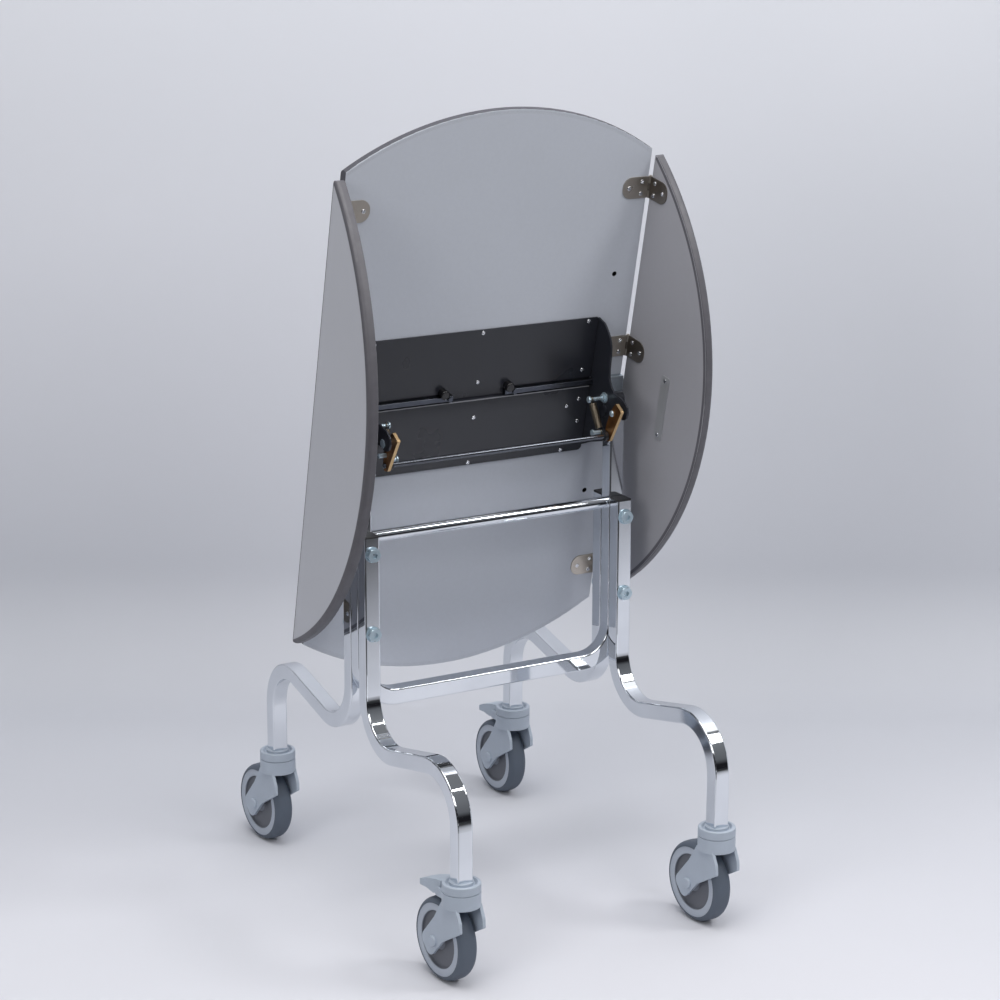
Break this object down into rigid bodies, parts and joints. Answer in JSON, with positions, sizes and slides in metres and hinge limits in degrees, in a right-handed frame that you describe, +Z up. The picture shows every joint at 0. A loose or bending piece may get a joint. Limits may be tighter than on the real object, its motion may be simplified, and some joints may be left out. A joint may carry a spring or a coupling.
{
  "type": "room service table",
  "caption": "Folding room service table: round top with two drop flaps, tipped up on a wheeled tube frame with cranked legs and casters.",
  "frame": {"origin": "bottom centre of the bounding box, on the floor", "axes": "+Z up, +X across the table along the tilt axis, +Y away from the underside that faces the front while the top is tipped up"},
  "size_m": [0.5802, 0.7531, 1.2228],
  "materials": {
    "chrome_tube": "polished chrome plate",
    "black_plastic": "matt black",
    "zinc_steel": "bright zinc plate",
    "black_metal": "satin black coat",
    "caster_grey": "moulded cool grey",
    "board_grey": "grey laminate underside, satin",
    "flap_grey": "grey laminate, satin",
    "edge_band": "dark brown-grey edge moulding",
    "screw_steel": "bright steel",
    "hinge_nickel": "dull nickel",
    "spring_steel": "bare steel",
    "lever_bronze": "yellow passivated steel",
    "knob_black": "gloss black",
    "wheel_grey": "grey moulded centre with a lighter rim",
    "tyre_grey": "blue-grey non-marking rubber"
  },
  "bodies": {
    "frame": {"u_frame": "chrome_tube", "crossbar": "chrome_tube", "leg_front_left": "chrome_tube", "leg_front_right": "chrome_tube", "leg_rear_left": "chrome_tube", "leg_rear_right": "chrome_tube", "leg_end_caps": "black_plastic", "frame_bolts": "zinc_steel", "frame_nuts": "zinc_steel", "pivot_blocks": "black_metal", "pivot_pins": "black_metal", "caster_collars": "caster_grey"},
    "table": {"centre_panel": "board_grey", "centre_edge_band": "edge_band", "housing_plate_upper": "black_metal", "housing_plate_lower": "black_metal", "cheek_left": "black_metal", "cheek_right": "black_metal", "housing_screws": "screw_steel", "mechanism_bolts": "zinc_steel", "hinge_leaves_centre": "hinge_nickel", "hinge_screws_centre": "screw_steel", "latch_springs": "spring_steel"},
    "flap_left_leaf": {"flap_left": "flap_grey", "flap_left_band": "edge_band", "hinge_leaves_left": "hinge_nickel", "flap_screws_left": "screw_steel", "wear_plate_left": "hinge_nickel"},
    "flap_right_leaf": {"flap_right": "flap_grey", "flap_right_band": "edge_band", "hinge_leaves_right": "hinge_nickel", "flap_screws_right": "screw_steel", "wear_plate_right": "hinge_nickel"},
    "release_latch": {"lever_left": "lever_bronze", "lever_right": "lever_bronze", "release_rod": "spring_steel", "rod_collars": "black_plastic", "latch_pins": "zinc_steel"},
    "support_left": {"support_bar_left": "zinc_steel", "support_knob_left": "knob_black"},
    "support_right": {"support_bar_right": "zinc_steel", "support_knob_right": "knob_black"},
    "caster_front_left": {"fork_front_left": "caster_grey", "axle_front_left": "zinc_steel"},
    "wheel_front_left": {"wheel_core_front_left": "wheel_grey", "tyre_front_left": "tyre_grey"},
    "brake_front_left": {"pedal_front_left": "caster_grey"},
    "caster_front_right": {"fork_front_right": "caster_grey", "axle_front_right": "zinc_steel"},
    "wheel_front_right": {"wheel_core_front_right": "wheel_grey", "tyre_front_right": "tyre_grey"},
    "caster_rear_left": {"fork_rear_left": "caster_grey", "axle_rear_left": "zinc_steel"},
    "wheel_rear_left": {"wheel_core_rear_left": "wheel_grey", "tyre_rear_left": "tyre_grey"},
    "caster_rear_right": {"fork_rear_right": "caster_grey", "axle_rear_right": "zinc_steel"},
    "wheel_rear_right": {"wheel_core_rear_right": "wheel_grey", "tyre_rear_right": "tyre_grey"},
    "brake_rear_right": {"pedal_rear_right": "caster_grey"}
  },
  "joints": [
    {"name": "table_tilt", "type": "hinge", "parent": "frame", "child": "table", "pos_m": [-0.00503, -0.037, 0.742], "axis": [1, 0, 0], "range_deg": [0, 77.3]},
    {"name": "flap_left_fold", "type": "hinge", "parent": "table", "child": "flap_left_leaf", "pos_m": [-0.26403, 0.0063, 0.772], "axis": [0, 0.2198, -0.9755], "range_deg": [0, 87]},
    {"name": "flap_right_fold", "type": "hinge", "parent": "table", "child": "flap_right_leaf", "pos_m": [0.25397, 0.0063, 0.772], "axis": [0, -0.2198, 0.9755], "range_deg": [0, 84]},
    {"name": "latch_release", "type": "hinge", "parent": "table", "child": "release_latch", "pos_m": [-0.00503, -0.08293, 0.74677], "axis": [1, 0, 0], "range_deg": [-18, 0], "stiffness_Nm_per_rad": 1.5, "springref_deg": 17.19, "deforming": ["latch_springs"]},
    {"name": "support_left_slide", "type": "slide", "parent": "table", "child": "support_left", "axis": [-1, 0, 0], "range_m": [-0.03, 0.002]},
    {"name": "support_right_slide", "type": "slide", "parent": "table", "child": "support_right", "axis": [1, 0, 0], "range_m": [-0.03, 0.002]},
    {"name": "swivel_front_left", "type": "hinge", "parent": "frame", "child": "caster_front_left", "pos_m": [-0.22303, -0.347, 0.15], "axis": [0, 0, 1], "continuous": true},
    {"name": "roll_front_left", "type": "hinge", "parent": "caster_front_left", "child": "wheel_front_left", "pos_m": [-0.22631, -0.30713, 0.0625], "axis": [0.9966, 0.0819, 0], "continuous": true},
    {"name": "brake_front_left_press", "type": "hinge", "parent": "caster_front_left", "child": "brake_front_left", "pos_m": [-0.22586, -0.31262, 0.141], "axis": [0.9966, 0.0819, 0], "range_deg": [-8, 0]},
    {"name": "swivel_front_right", "type": "hinge", "parent": "frame", "child": "caster_front_right", "pos_m": [0.21297, -0.347, 0.15], "axis": [0, 0, 1], "continuous": true},
    {"name": "roll_front_right", "type": "hinge", "parent": "caster_front_right", "child": "wheel_front_right", "pos_m": [0.21046, -0.30708, 0.0625], "axis": [0.998, 0.0628, 0], "continuous": true},
    {"name": "swivel_rear_left", "type": "hinge", "parent": "frame", "child": "caster_rear_left", "pos_m": [-0.22303, 0.273, 0.15], "axis": [0, 0, 1], "continuous": true},
    {"name": "roll_rear_left", "type": "hinge", "parent": "caster_rear_left", "child": "wheel_rear_left", "pos_m": [-0.22679, 0.31282, 0.0625], "axis": [0.9956, 0.0941, 0], "continuous": true},
    {"name": "swivel_rear_right", "type": "hinge", "parent": "frame", "child": "caster_rear_right", "pos_m": [0.21297, 0.273, 0.15], "axis": [0, 0, 1], "continuous": true},
    {"name": "roll_rear_right", "type": "hinge", "parent": "caster_rear_right", "child": "wheel_rear_right", "pos_m": [0.21192, 0.31299, 0.0625], "axis": [0.9997, 0.0262, 0], "continuous": true},
    {"name": "brake_rear_right_press", "type": "hinge", "parent": "caster_rear_right", "child": "brake_rear_right", "pos_m": [0.21207, 0.30749, 0.141], "axis": [0.9997, 0.0262, 0], "range_deg": [-8, 0]}
  ]
}
